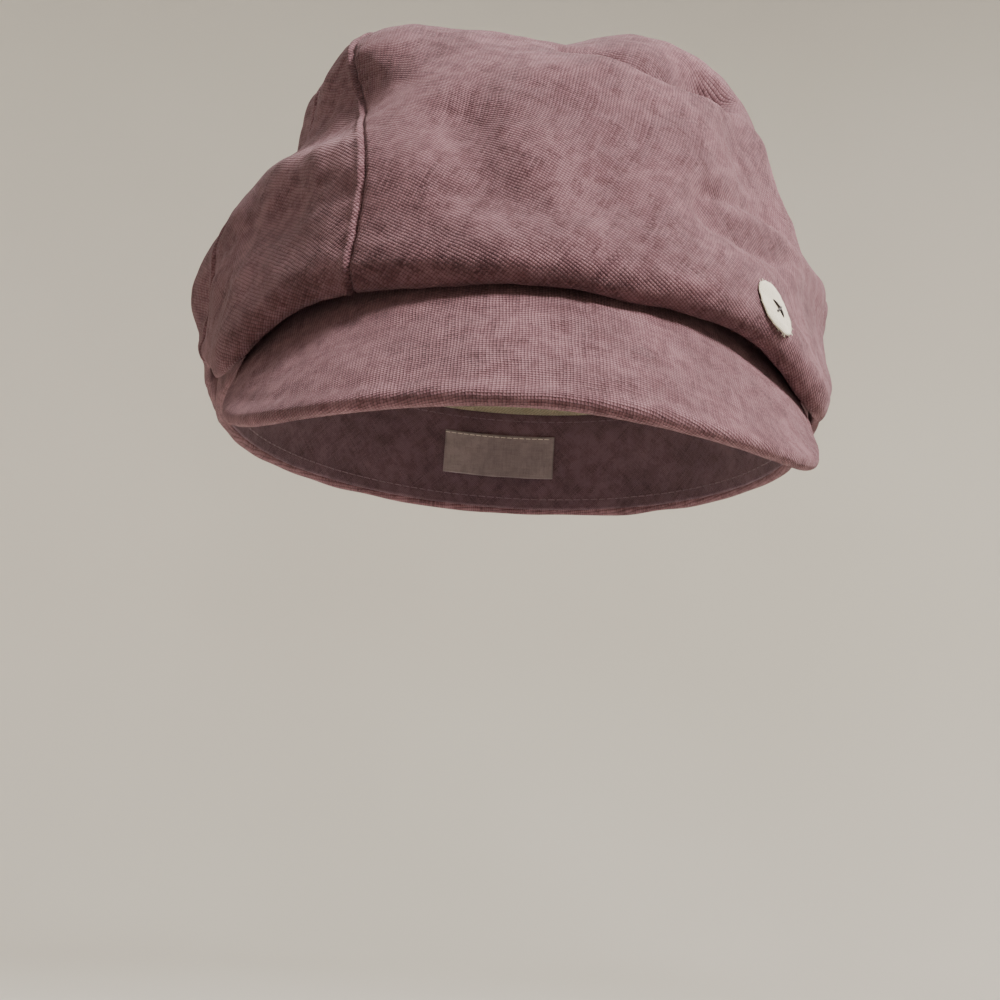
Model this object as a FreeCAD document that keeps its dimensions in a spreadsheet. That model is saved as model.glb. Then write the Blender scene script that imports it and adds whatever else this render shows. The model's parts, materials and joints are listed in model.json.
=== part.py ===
import FreeCAD, Part
import Sketcher
import math
import os

from FreeCAD import Placement, Rotation, Vector

# Soft newsboy cap. Millimetres, +Z up, front towards -Y, wearer's left towards +X.
# The origin is the middle of the head opening, on the plane of the band's lower edge.
# Azimuths are measured from the front (0) towards +X (90), as seen from above.

doc = FreeCAD.newDocument("newsboy_cap")
sheet = doc.addObject("Spreadsheet::Sheet", "dims")

DIMENSIONS = {
    "band_half_width": 88.0,      # outer face of the band, across the head
    "band_half_length": 97.0,     # outer face of the band, front to back
    "band_top": 38.0,             # the seam between band and crown
    "band_cloth": 1.2,
    "stiffener_thick": 0.8,
    "sweatband_thick": 1.0,
    "layer_gap": 0.3,             # clearance between neighbouring layers
    "front_arch": 17.0,           # rise of the band's lower edge at the front
    "arch_start": 25.0,           # the arch begins this far in front of the middle
    "crown_half_width": 101.0,
    "crown_half_length": 112.0,
    "crown_bottom": 6.0,          # underside of the roll that hangs over the band
    "crown_height": 120.0,
    "crown_setback": 8.0,         # the crown's middle lies behind the band's middle
    "crown_cloth": 2.0,
    "lining_cloth": 1.0,
    "lining_ease": 1.2,           # the lining hangs this far inside the crown
    "seam_clearance": 0.3,        # degrees left between neighbouring panels
    "visor_reach": 55.0,          # seam to edge at the middle, along the slope
    "visor_end_reach": 10.0,
    "visor_slope": 52.0,          # below the horizontal, at the middle
    "visor_end_slope": 65.0,
    "visor_half_angle": 48.0,     # azimuth of the visor's ends
    "visor_gap": 2.2,             # band to visor, room for the visor to tilt
    "visor_cover": 0.9,
    "visor_board_thick": 1.6,
    "visor_edge_lap": 1.5,        # the cloth covers reach this far past the board
    "visor_fullness": 2.2,        # exponent of the visor's outline; 2 is an ellipse
    "roll_clearance": 1.2,        # crown roll above the visor's top face
    "button_radius": 8.5,
    "button_height": 5.2,
    "button_cloth": 0.6,
    "button_metal": 0.7,
    "shank_radius": 1.3,
    "shank_hole": 1.8,
    "washer_radius": 4.0,
    "washer_thick": 0.8,
    "washer_drop": 2.0,           # the rivet's foot lies this far below the lining
    "tag_radius": 6.6,
    "tag_thick": 0.8,
    "tag_azimuth": 35.0,
    "tag_level": 15.0,
    "thread_radius": 0.35,
    "thread_length": 3.4,
    "label_half_width": 20.0,
    "label_low": 12.0,
    "label_tall": 16.0,
    "label_thick": 0.5,
    "care_half_width": 6.0,
    "elastic_low": 6.0,
    "elastic_tall": 24.0,
    "elastic_half_width": 60.0,
    "elastic_behind": 40.0,       # the elastic lies behind this place
    "elastic_gap": 2.0,           # between the elastic's ends and the stiffener
    "edge_inset": 1.0,            # inner layers stop this far short of the band's edges
}

for row, (alias, value) in enumerate(DIMENSIONS.items(), start=1):
    sheet.set(f"A{row}", alias)
    sheet.set(f"B{row}", str(value))
    sheet.setAlias(f"B{row}", alias)
doc.recompute()

# Crown outline: height, half width and half length as shares of the driving sizes,
# and how much of the setback has built up at that height.
CROWN_RINGS = [
    (0.000, 0.915, 0.911, 0.15),
    (0.088, 0.975, 0.973, 0.25),
    (0.193, 1.000, 1.000, 0.40),
    (0.342, 0.980, 0.991, 0.50),
    (0.491, 0.925, 0.955, 0.65),
    (0.632, 0.850, 0.884, 0.75),
    (0.754, 0.760, 0.786, 0.90),
    (0.840, 0.655, 0.668, 1.00),
    (0.912, 0.518, 0.528, 1.00),
    (0.960, 0.350, 0.362, 1.00),
    (0.986, 0.195, 0.206, 1.00),
    (1.000, 0.075, 0.080, 1.00),
]

# Lining outline: it starts at the sweatband's top edge and widens into the crown.
LINING_RINGS = [(0.300, 0.877, 0.873, 0.00), (0.380, 0.915, 0.925, 0.30)] + CROWN_RINGS[4:]

# Crown panels: name and the azimuths between which each one lies.
PANELS = [
    ("front", -24.0, 74.0),
    ("right", 74.0, 130.0),
    ("back_right", 130.0, 186.0),
    ("back_left", 186.0, 242.0),
    ("left", 242.0, 298.0),
    ("front_left", 298.0, 336.0),
]

CUTTER_SIZE = 300.0
CUTTER_MARGIN = 10.0        # cutting solids run this far past what they cut
CUTTER_HIGH = 60.0          # above the band and everything sewn to it
VISOR_STATIONS = 17
ROOM_SIDE = 5.0             # extra width at each end of the room over the visor
ROOM_BEHIND = 2.0
ROOM_AHEAD = 8.0
ROOM_LIFT = 1.5
ROOM_FLOOR = -60.0
HEAD_ROOM_ABOVE = 4.0       # the head's space runs this far above the band
BORE_REACH = 40.0           # the button's bore runs this far below and above the crown's top
LINING_FLOOR_DROP = 0.2     # opens the lining's lower edge
TAG_SETBACK = 0.35          # share of the crown's setback at the tag's level
THREAD_LIFT = 0.1
THREAD_STACK = 2.2          # the second stitch lies over the first, in thread radii
ORIGIN = Vector(0, 0, 0)
UP = Vector(0, 0, 1)


def dim(alias):
    return float(sheet.get(alias))


def bind(obj, **expressions):
    """Tie properties of an object to the sheet, with dots written as two underscores."""
    for name, expression in expressions.items():
        obj.setExpression(name.replace("__", "."), expression)
    return obj


def boolean(kind, name, base, tool):
    obj = doc.addObject(f"Part::{kind}", name)
    obj.Base = base
    obj.Tool = tool
    return obj


def oval(name, half_width, half_length, level, setback="0"):
    """A level ellipse, longer from front to back."""
    ring = doc.addObject("Part::Ellipse", name)
    ring.Placement = Placement(ORIGIN, Rotation(UP, 90))
    return bind(
        ring,
        MajorRadius=half_length,
        MinorRadius=half_width,
        Placement__Base__y=setback,
        Placement__Base__z=level,
    )


def oval_block(name, inset, low, high):
    """An upright oval prism whose side lies inside the band's outer face by inset."""
    ring = oval(f"{name}_outline", f"dims.band_half_width - ({inset})",
                f"dims.band_half_length - ({inset})", low)
    block = doc.addObject("Part::Extrusion", name)
    block.Base = ring
    block.DirMode = "Custom"
    block.Dir = UP
    block.Solid = True
    return bind(block, LengthFwd=f"({high}) - ({low})")


def oval_wall(name, outer_inset, inner_inset, low, high):
    outer = oval_block(f"{name}_outside", outer_inset, low, high)
    inner = oval_block(f"{name}_inside", inner_inset, low, high)
    return boolean("Cut", name, outer, inner)


def cutter_box(name, x_low, x_high, y_low, y_high, z_low, z_high):
    """A box between plain limits or sheet expressions."""
    box = doc.addObject("Part::Box", name)
    return bind(
        box,
        Length=f"({x_high}) - ({x_low})",
        Width=f"({y_high}) - ({y_low})",
        Height=f"({z_high}) - ({z_low})",
        Placement__Base__x=str(x_low),
        Placement__Base__y=str(y_low),
        Placement__Base__z=str(z_low),
    )


def arch_radius():
    """Radius of the arc that lifts the band's lower edge at the front."""
    run = dim("band_half_length") - dim("arch_start")
    rise = dim("front_arch")
    return (run * run + rise * rise) / (2 * rise)


def rim_height(y):
    """Height of the band's lower edge at a place along the head."""
    ahead = max(0.0, -y - dim("arch_start"))
    radius = arch_radius()
    return radius - math.sqrt(radius * radius - ahead * ahead)


def arch_cutter():
    """Everything below the raised front part of the band's lower edge."""
    run = "(dims.band_half_length - dims.arch_start)"
    radius = f"({run} * {run} + dims.front_arch * dims.front_arch) / (2 * dims.front_arch)"
    block = cutter_box("arch_block", -CUTTER_SIZE / 2, CUTTER_SIZE / 2,
                       f"-dims.band_half_length - {CUTTER_MARGIN}", "-dims.arch_start",
                       -CUTTER_MARGIN, f"dims.front_arch + {CUTTER_MARGIN}")
    barrel = doc.addObject("Part::Cylinder", "arch_barrel")
    barrel.Placement = Placement(ORIGIN, Rotation(Vector(0, 1, 0), 90))
    bind(
        barrel,
        Radius=radius,
        Height=str(CUTTER_SIZE),
        Placement__Base__x=str(-CUTTER_SIZE / 2),
        Placement__Base__y="-dims.arch_start",
        Placement__Base__z=radius,
    )
    return boolean("Cut", "below_front_arch", block, barrel)


def crown_loft(name, rings, shrink, floor):
    """A dome through level ovals. shrink draws it in; floor raises its flat underside."""
    sections = []
    for index, (rise, width, length, setback) in enumerate(rings):
        tall = "(dims.crown_height - dims.crown_bottom)"
        level = f"dims.crown_bottom + {rise} * {tall} - ({shrink}) * {rise}"
        if index == 0:
            level = f"{level} + ({floor})"
        sections.append(oval(
            f"{name}_ring_{index}",
            f"{width} * dims.crown_half_width - ({shrink})",
            f"{length} * dims.crown_half_length - ({shrink})",
            level,
            f"{setback} * dims.crown_setback",
        ))
    loft = doc.addObject("Part::Loft", name)
    loft.Sections = sections
    loft.Solid = True
    loft.MaxDegree = 3
    return loft


def panel_wedge(name, start, end):
    """The slice of space between two seams, with its edge on the crown's middle line."""
    wedge = doc.addObject("Part::Cylinder", name)
    turn = start - 90
    wedge.Placement = Placement(ORIGIN, Rotation(UP, turn))
    return bind(
        wedge,
        Radius=str(CUTTER_SIZE / 2),
        Height=str(CUTTER_SIZE / 2),
        Angle=f"{end - start} - dims.seam_clearance",
        Placement__Base__y="dims.crown_setback",
    )


def split_into_panels(prefix, shell):
    pieces = []
    for name, start, end in PANELS:
        wedge = panel_wedge(f"{prefix}_{name}_wedge", start, end)
        pieces.append(boolean("Common", f"{prefix}_{name}", shell, wedge))
    return pieces


def visor_station(share):
    """Root point, outward direction, slope and reach of the visor; share runs -1 to 1."""
    azimuth = math.radians(dim("visor_half_angle")) * share
    width = dim("band_half_width")
    length = dim("band_half_length")
    outward = Vector(math.sin(azimuth) / width, -math.cos(azimuth) / length, 0).normalize()
    slope = math.radians(
        dim("visor_slope") + (dim("visor_end_slope") - dim("visor_slope")) * share * share)
    depth = 2 * dim("visor_cover") + dim("visor_board_thick") + 2 * dim("layer_gap")
    on_band = Vector(width * math.sin(azimuth), -length * math.cos(azimuth), 0)
    root = on_band + outward * (dim("visor_gap") + depth * math.sin(slope))
    root.z = rim_height(on_band.y)
    swell = math.sqrt(max(0.0, 1 - abs(share) ** dim("visor_fullness")))
    end_reach = dim("visor_end_reach")
    reach = end_reach + (dim("visor_reach") - end_reach) * swell
    along = outward * math.cos(slope) - UP * math.sin(slope)
    normal = outward * math.sin(slope) + UP * math.cos(slope)
    return on_band, outward, root, along, normal, reach


def loft_through(outlines):
    wires = [Part.makePolygon(points + points[:1]) for points in outlines]
    return Part.makeLoft(wires, True, False)


def station_shares():
    last = VISOR_STATIONS - 1
    return [2 * index / last - 1 for index in range(VISOR_STATIONS)]


def visor_layer(name, top, thickness, trim):
    """One layer of the visor, top below its upper face, cut back by trim all round."""
    outlines = []
    end_share = 1 - trim / (dim("band_half_length") * math.radians(dim("visor_half_angle")))
    for share in station_shares():
        _, _, root, along, normal, reach = visor_station(share * end_share)
        start = root + along * trim
        stop = root + along * (reach - trim)
        outlines.append([
            start - normal * top,
            stop - normal * top,
            stop - normal * (top + thickness),
            start - normal * (top + thickness),
        ])
    layer = doc.addObject("Part::Feature", name)
    layer.Shape = loft_through(outlines)
    layer.Placement = Placement()
    return layer


def visor_room():
    """The space the crown's roll leaves over the visor."""
    outlines = []
    for share in station_shares():
        on_band, outward, root, along, normal, reach = visor_station(share)
        spread = Vector(share * ROOM_SIDE, 0, 0)
        lifted = normal * dim("roll_clearance")
        behind = on_band - outward * ROOM_BEHIND + spread
        over = root + lifted + spread
        ahead = root + lifted + along * (reach + ROOM_AHEAD) + spread
        outlines.append([
            Vector(behind.x, behind.y, ROOM_FLOOR),
            Vector(behind.x, behind.y, over.z + ROOM_LIFT),
            over + UP * ROOM_LIFT,
            ahead,
            Vector(ahead.x, ahead.y, ROOM_FLOOR),
        ])
    room = doc.addObject("Part::Feature", "visor_room")
    room.Shape = loft_through(outlines)
    return room


def half_dome(name, radius, height, level):
    dome = doc.addObject("Part::Ellipsoid", name)
    return bind(
        dome,
        Radius1=height,
        Radius2=radius,
        Radius3=radius,
        Angle1="0",
        Angle2="90",
        Placement__Base__y="dims.crown_setback",
        Placement__Base__z=level,
    )


def upright_pin(name, radius, low, high):
    pin = doc.addObject("Part::Cylinder", name)
    return bind(
        pin,
        Radius=radius,
        Height=f"({high}) - ({low})",
        Placement__Base__y="dims.crown_setback",
        Placement__Base__z=low,
    )


def origin_plane(body, role):
    return next(plane for plane in body.Origin.OriginFeatures if plane.Role == role)


def round_pad(name, radius, thickness):
    """A disc as a body: a circle padded along Z."""
    body = doc.addObject("PartDesign::Body", name)
    sketch = body.newObject("Sketcher::SketchObject", f"{name}_outline")
    sketch.AttachmentSupport = [(origin_plane(body, "XY_Plane"), "")]
    sketch.MapMode = "FlatFace"
    sketch.addGeometry(Part.Circle(ORIGIN, UP, dim(radius)), False)
    sketch.addConstraint(Sketcher.Constraint("Coincident", 0, 3, -1, 1))
    size = sketch.addConstraint(Sketcher.Constraint("Radius", 0, dim(radius)))
    sketch.setExpression(f"Constraints[{size}]", f"dims.{radius}")
    pad = body.newObject("PartDesign::Pad", f"{name}_pad")
    pad.Profile = sketch
    pad.setExpression("Length", f"dims.{thickness}")
    body.Tip = pad
    return body


def tag_frame():
    """Where the round tag lies: its middle, and the turn that lays it on the crown."""
    azimuth = math.radians(dim("tag_azimuth"))
    width = dim("crown_half_width")
    length = dim("crown_half_length")
    outward = Vector(math.sin(azimuth) / width, -math.cos(azimuth) / length, 0).normalize()
    middle = Vector(width * math.sin(azimuth),
                    TAG_SETBACK * dim("crown_setback") - length * math.cos(azimuth),
                    dim("tag_level"))
    return middle + outward * dim("layer_gap"), Rotation(UP, outward)


parts = []


def keep(obj, label):
    obj.Label = label
    parts.append(obj)
    return obj


# Band: front and back cloth, stiffener, elastic and sweatband, from outside to inside.
below_arch = arch_cutter()
cloth_inner = "dims.band_cloth"
stiff_outer = "dims.band_cloth + dims.layer_gap"
stiff_inner = f"{stiff_outer} + dims.stiffener_thick"
sweat_outer = f"{stiff_inner} + dims.layer_gap"
sweat_inner = f"{sweat_outer} + dims.sweatband_thick"
label_outer = f"{sweat_inner} + dims.layer_gap"
label_inner = f"{label_outer} + dims.label_thick"
far = CUTTER_SIZE / 2

band_ring = oval_wall("band_ring", "0", cloth_inner, "0", "dims.band_top")
band_shell = boolean("Cut", "band_shell", band_ring, below_arch)
front_half = cutter_box("front_half", -far, far, -far, "-dims.layer_gap / 2",
                        -CUTTER_MARGIN, CUTTER_HIGH)
back_half = cutter_box("back_half", -far, far, "dims.layer_gap / 2", far,
                       -CUTTER_MARGIN, CUTTER_HIGH)
keep(boolean("Common", "band_front_cloth", band_shell, front_half), "band_front")
keep(boolean("Common", "band_back_cloth", band_shell, back_half), "band_back")

stiff_ring = oval_wall("stiff_ring", stiff_outer, stiff_inner, "dims.edge_inset",
                       "dims.band_top - 2 * dims.edge_inset")
stiff_shell = boolean("Cut", "stiff_shell", stiff_ring, below_arch)
elastic_zone = cutter_box("elastic_zone", "-dims.elastic_half_width - dims.elastic_gap",
                          "dims.elastic_half_width + dims.elastic_gap",
                          "dims.elastic_behind", far, -CUTTER_MARGIN, CUTTER_HIGH)
keep(boolean("Cut", "stiffener", stiff_shell, elastic_zone), "band_stiffener")

elastic_ring = oval_wall("elastic_ring", stiff_outer, stiff_inner, "dims.elastic_low",
                         "dims.elastic_low + dims.elastic_tall")
elastic_slot = cutter_box("elastic_slot", "-dims.elastic_half_width",
                          "dims.elastic_half_width", "dims.elastic_behind", far,
                          -CUTTER_MARGIN, CUTTER_HIGH)
keep(boolean("Common", "elastic", elastic_ring, elastic_slot), "back_elastic")

sweat_ring = oval_wall("sweat_ring", sweat_outer, sweat_inner, "0",
                       "dims.band_top - dims.edge_inset")
keep(boolean("Cut", "sweat_shell", sweat_ring, below_arch), "sweatband")

label_ring = oval_wall("label_ring", label_outer, label_inner, "dims.label_low",
                       "dims.label_low + dims.label_tall")
label_zone = cutter_box("label_zone", "-dims.label_half_width", "dims.label_half_width",
                        0, far, -CUTTER_MARGIN, CUTTER_HIGH)
keep(boolean("Common", "label", label_ring, label_zone), "inner_label")
care_zone = cutter_box("care_zone", -far, 0, "-dims.care_half_width",
                       "dims.care_half_width", -CUTTER_MARGIN, CUTTER_HIGH)
keep(boolean("Common", "care", label_ring, care_zone), "care_label")

# Crown: a puffed shell that rolls over the band, cut into six panels.
crown_outside = crown_loft("crown_outside", CROWN_RINGS, "0", "0")
crown_inside = crown_loft("crown_inside", CROWN_RINGS, "dims.crown_cloth", "dims.crown_cloth")
crown_dome = boolean("Cut", "crown_dome", crown_outside, crown_inside)
head_room = oval_block("head_room", "-dims.layer_gap", "0",
                       f"dims.band_top + {HEAD_ROOM_ABOVE}")
crown_ring = boolean("Cut", "crown_ring", crown_dome, head_room)
crown_over_visor = boolean("Cut", "crown_over_visor", crown_ring, visor_room())
button_bore = upright_pin("button_bore", "dims.shank_hole",
                          f"dims.crown_height - {BORE_REACH}",
                          f"dims.crown_height + {BORE_REACH}")
crown_shell = boolean("Cut", "crown_shell", crown_over_visor, button_bore)
for piece, (name, _, _) in zip(split_into_panels("crown_panel", crown_shell), PANELS):
    keep(piece, f"crown_panel_{name}")

lining_inset = "dims.crown_cloth + dims.lining_ease"
lining_outside = crown_loft("lining_outside", LINING_RINGS, lining_inset, "0")
lining_inside = crown_loft("lining_inside", LINING_RINGS,
                             f"{lining_inset} + dims.lining_cloth", f"-{LINING_FLOOR_DROP}")
lining_dome = boolean("Cut", "lining_dome", lining_outside, lining_inside)
lining_shell = boolean("Cut", "lining_shell", lining_dome, button_bore)
for piece, (name, _, _) in zip(split_into_panels("lining_panel", lining_shell), PANELS):
    keep(piece, f"lining_panel_{name}")

# Visor: cloth top, board and cloth underside.
cover = dim("visor_cover")
gap = dim("layer_gap")
board = dim("visor_board_thick")
lap = dim("visor_edge_lap")
keep(visor_layer("visor_top", 0, cover, 0), "visor_top_cover")
keep(visor_layer("visor_middle", cover + gap, board, lap), "visor_board")
keep(visor_layer("visor_under", cover + board + 2 * gap, cover, 0), "visor_under_cover")

# Covered button on the crown's middle, riveted through crown and lining.
seat = "dims.crown_height + dims.layer_gap"
cover_inner = "dims.button_radius - dims.button_cloth"
cover_low = "dims.button_height - dims.button_cloth"
metal_outer = f"{cover_inner} - dims.layer_gap"
metal_top = f"{cover_low} - dims.layer_gap"
button_outside = half_dome("button_outside", "dims.button_radius", "dims.button_height", seat)
button_inside = half_dome("button_inside", cover_inner, cover_low, seat)
keep(boolean("Cut", "button_cloth", button_outside, button_inside), "top_button_cover")
metal_outside = half_dome("metal_outside", metal_outer, metal_top, seat)
metal_inside = half_dome("metal_inside", f"{metal_outer} - dims.button_metal",
                         f"{metal_top} - dims.button_metal", seat)
keep(boolean("Cut", "button_metal", metal_outside, metal_inside), "top_button_shell")
washer_low = f"dims.crown_height - ({lining_inset}) - dims.lining_cloth - dims.washer_drop"
stem = upright_pin("stem", "dims.shank_radius", washer_low, f"{seat} + 2 * dims.washer_thick")
foot = upright_pin("foot", "dims.washer_radius", washer_low,
                   f"{washer_low} + dims.washer_thick")
head = upright_pin("head", "dims.washer_radius", f"{seat} + dims.washer_thick",
                   f"{seat} + 2 * dims.washer_thick")
keep(boolean("Fuse", "shank", boolean("Fuse", "stem_and_foot", stem, foot), head),
     "top_button_shank")

# Round cloth tag on the front panel, with its two crossed stitches.
tag_middle, tag_turn = tag_frame()
tag = round_pad("tag", "tag_radius", "tag_thick")
tag.Placement = Placement(tag_middle, tag_turn)
keep(tag, "round_tag")
threads = []
for number, lean in enumerate((45, -45)):
    thread = doc.addObject("Part::Cylinder", f"thread_{number}")
    bind(thread, Radius="dims.thread_radius", Height="dims.thread_length")
    lift = dim("tag_thick") + THREAD_LIFT + dim("thread_radius") * (1 + THREAD_STACK * number)
    lay = Rotation(Vector(0, 0, 1), lean) * Rotation(Vector(0, 1, 0), 90)
    half = lay.multVec(Vector(0, 0, dim("thread_length") / 2))
    local = Placement(Vector(0, 0, lift) - half, lay)
    thread.Placement = Placement(tag_middle, tag_turn).multiply(local)
    threads.append(thread)
stitches = doc.addObject("Part::Compound", "stitches")
stitches.Links = threads
keep(stitches, "tag_stitches")

doc.recompute()
for obj in doc.Objects:
    if "Invalid" in obj.State or "Error" in obj.State:
        raise RuntimeError(f"{obj.Label} did not recompute: {obj.State}")

os.makedirs("parts", exist_ok=True)
for part in parts:
    shape = part.Shape
    if shape.isNull() or not shape.isValid() or not shape.Solids:
        raise RuntimeError(f"{part.Label} has no valid solid")
    shape.exportStep(f"parts/{part.Label}.step")
    box = shape.BoundBox
    print(f"{part.Label:26s} solids {len(shape.Solids)}  volume {shape.Volume:9.1f}"
          f"  x {box.XMin:7.1f} {box.XMax:7.1f}  y {box.YMin:7.1f} {box.YMax:7.1f}"
          f"  z {box.ZMin:7.1f} {box.ZMax:7.1f}")
print(len(parts), "pieces")
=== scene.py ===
import json
import math

import bpy
import numpy as np
from mathutils import Matrix, Vector

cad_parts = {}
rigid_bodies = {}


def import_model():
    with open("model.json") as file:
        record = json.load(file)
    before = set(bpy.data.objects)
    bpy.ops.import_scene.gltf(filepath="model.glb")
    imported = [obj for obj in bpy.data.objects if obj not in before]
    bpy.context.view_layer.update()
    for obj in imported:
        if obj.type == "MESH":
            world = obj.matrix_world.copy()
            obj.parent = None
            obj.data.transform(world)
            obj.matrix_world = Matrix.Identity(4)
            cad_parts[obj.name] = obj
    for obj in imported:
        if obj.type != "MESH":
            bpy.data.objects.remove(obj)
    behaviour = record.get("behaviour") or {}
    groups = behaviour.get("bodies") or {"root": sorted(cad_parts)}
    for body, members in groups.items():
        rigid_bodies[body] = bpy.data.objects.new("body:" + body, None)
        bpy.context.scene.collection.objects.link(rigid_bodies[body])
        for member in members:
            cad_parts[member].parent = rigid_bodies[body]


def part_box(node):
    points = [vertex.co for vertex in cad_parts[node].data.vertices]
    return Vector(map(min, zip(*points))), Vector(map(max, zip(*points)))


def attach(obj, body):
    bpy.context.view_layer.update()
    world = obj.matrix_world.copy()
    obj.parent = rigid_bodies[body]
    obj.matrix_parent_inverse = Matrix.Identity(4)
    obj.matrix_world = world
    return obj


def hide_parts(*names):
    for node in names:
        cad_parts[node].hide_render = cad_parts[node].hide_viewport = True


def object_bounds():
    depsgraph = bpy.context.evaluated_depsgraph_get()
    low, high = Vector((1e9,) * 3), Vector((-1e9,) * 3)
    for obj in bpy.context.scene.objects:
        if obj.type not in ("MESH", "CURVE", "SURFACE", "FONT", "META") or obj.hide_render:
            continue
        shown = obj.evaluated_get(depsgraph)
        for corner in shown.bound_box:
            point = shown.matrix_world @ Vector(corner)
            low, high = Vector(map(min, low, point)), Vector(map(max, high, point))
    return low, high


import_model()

cad_low, cad_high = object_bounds()

# A soft linen newsboy cap. Shapes are worked out in millimetres in the cap's own frame
# (front -Y, up +Z) and turned into metres when a mesh is made. Angles are in degrees.

MM = 0.001
RNG = np.random.default_rng(11)

# ---- shape: sizes shared with the CAD model ----
BAND_HALF_WIDTH = 88.0
BAND_HALF_LENGTH = 97.0
BAND_TOP = 38.0
FRONT_ARCH = 17.0
ARCH_START = 25.0
VISOR_HALF_ANGLE = 48.0
VISOR_REACH = 55.0
VISOR_END_REACH = 10.0
VISOR_SLOPE = 52.0
VISOR_END_SLOPE = 65.0
VISOR_GAP = 2.2
VISOR_THICK = 4.0
VISOR_FULLNESS = 2.2
VISOR_GRAIN_RADIUS = 160.0      # the weave on the visor bends round this radius
TAG_RADIUS = 6.6
LINING_SLACK = 4.8              # crown to lining, with its least and most
LINING_LEAST = 3.6
LINING_MOST = 7.0
LINING_RIM_HALF = (85.6, 94.6)  # the lining's lower edge, on the sweatband
LINING_RIM_LEVEL = 36.4
SWEATBAND_HALF_WIDTH = 84.4

# ---- shape: the crown ----
LEFT_SEAM = -62.0
FRONT_SEAM = -22.0
ROLL_LEVEL = 7.5        # underside of the roll over the visor
ROLL_DROP = 14.0        # how far it comes down round each end of the visor
ROLL_END_WIDTH = 8.5
CROWN_MIDDLE = np.array([-1.5, 4.0])
CROWN_TOP_MIDDLE = np.array([0.0, 8.0])
CROWN_HALF = (100.5, 113.0)
CROWN_SQUARENESS = 2.2
CROWN_HEART = np.array([0.0, 4.0, 40.0])
CROWN_ROWS = 200
ROLL_FORWARD = 17.2
CROWN_PROFILE = [(0.998, 24.0), (1.0, 32.0), (0.985, 45.0), (0.935, 62.0), (0.865, 77.0),
                 (0.775, 89.0), (0.665, 98.5), (0.535, 106.0), (0.395, 111.5),
                 (0.255, 116.0), (0.12, 118.8), (0.012, 119.9)]


def smooth(x, low, high):
    t = np.clip((x - low) / (high - low), 0, 1)
    return t * t * (3 - 2 * t)


def angle_gap(a, b):
    return (a - b + 180) % 360 - 180


def bell(x, middle, width):
    return np.exp(-0.5 * ((x - middle) / width) ** 2)


def angle_bump(theta, middle, width):
    return bell(angle_gap(theta, middle), 0.0, width)


def rim_height(y):
    """Height of the band's lower edge, which arches up at the front."""
    run = BAND_HALF_LENGTH - ARCH_START
    radius = (run * run + FRONT_ARCH * FRONT_ARCH) / (2 * FRONT_ARCH)
    ahead = np.clip(-y - ARCH_START, 0.0, run)
    return radius - np.sqrt(radius * radius - ahead * ahead)


def band_point(azimuth, outset):
    """Places on the band's outer oval, moved outwards by outset."""
    a = np.radians(azimuth)
    across = np.sin(a) / BAND_HALF_WIDTH
    along = -np.cos(a) / BAND_HALF_LENGTH
    size = np.hypot(across, along)
    return (BAND_HALF_WIDTH * np.sin(a) + outset * across / size,
            -BAND_HALF_LENGTH * np.cos(a) + outset * along / size)


def run_along(points, axis=0):
    """How far each point of a path or grid lies along one of its axes, from zero."""
    run = np.cumsum(np.linalg.norm(np.diff(points, axis=axis), axis=-1), axis=axis)
    return np.concatenate([np.zeros_like(run.take([0], axis)), run], axis=axis)


def spline(controls, count):
    """Catmull-Rom curves through controls (k, n, 3), each evenly spaced by its length."""
    first = 2 * controls[:1] - controls[1:2]
    last = 2 * controls[-1:] - controls[-2:-1]
    padded = np.concatenate([first, controls, last])
    spans = len(controls) - 1
    t = np.linspace(0, spans, spans * 24 + 1)
    i = np.minimum(t.astype(int), spans - 1)
    u = (t - i)[:, None, None]
    a, b, c, d = padded[i], padded[i + 1], padded[i + 2], padded[i + 3]
    curve = 0.5 * (2 * b + (c - a) * u + (2 * a - 5 * b + 4 * c - d) * u ** 2
                   + (3 * b - a - 3 * c + d) * u ** 3)
    run = run_along(curve)
    out = np.empty((count,) + curve.shape[1:])
    for k in range(curve.shape[1]):
        want = np.linspace(0, run[-1, k], count)
        for axis in range(3):
            out[:, k, axis] = np.interp(want, run[:, k], curve[:, k, axis])
    return out


def plan_radius(theta):
    across = np.abs(np.sin(np.radians(theta))) / CROWN_HALF[0]
    along = np.abs(np.cos(np.radians(theta))) / CROWN_HALF[1]
    return (across ** CROWN_SQUARENESS + along ** CROWN_SQUARENESS) ** (-1 / CROWN_SQUARENESS)


def visor_slope(azimuth):
    share = azimuth / VISOR_HALF_ANGLE
    return VISOR_SLOPE + (VISOR_END_SLOPE - VISOR_SLOPE) * np.minimum(share * share, 1.6)


def visor_root_outset(azimuth):
    return VISOR_GAP + VISOR_THICK * np.sin(np.radians(visor_slope(azimuth)))


def side_change(theta, z):
    """A worn crown is drawn in half way up each side and puffs out again round its top."""
    right = -15.0 * bell(z, 60, 24) + 6.0 * bell(z, 107, 7) - 7.0 * bell(z, 12, 18)
    left = -14.0 * bell(z, 70, 15) + 7.0 * bell(z, 105, 7) - 4.0 * bell(z, 30, 20)
    tucked = -9.0 * (1 - smooth(z, 8, 30)) * angle_bump(theta, -78, 16)
    return right * angle_bump(theta, 76, 36) + left * angle_bump(theta, -76, 34) + tucked


def roll_bottom(theta):
    """Height of the underside of the roll; it comes down round both ends of the visor."""
    end = VISOR_HALF_ANGLE - 2.0
    ends = angle_bump(theta, -end, ROLL_END_WIDTH) + angle_bump(theta, end, ROLL_END_WIDTH)
    lifted = 6.0 * angle_bump(theta, -94, 16) + 1.5 * angle_bump(theta, 150, 30)
    return ROLL_LEVEL - ROLL_DROP * ends + lifted


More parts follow.
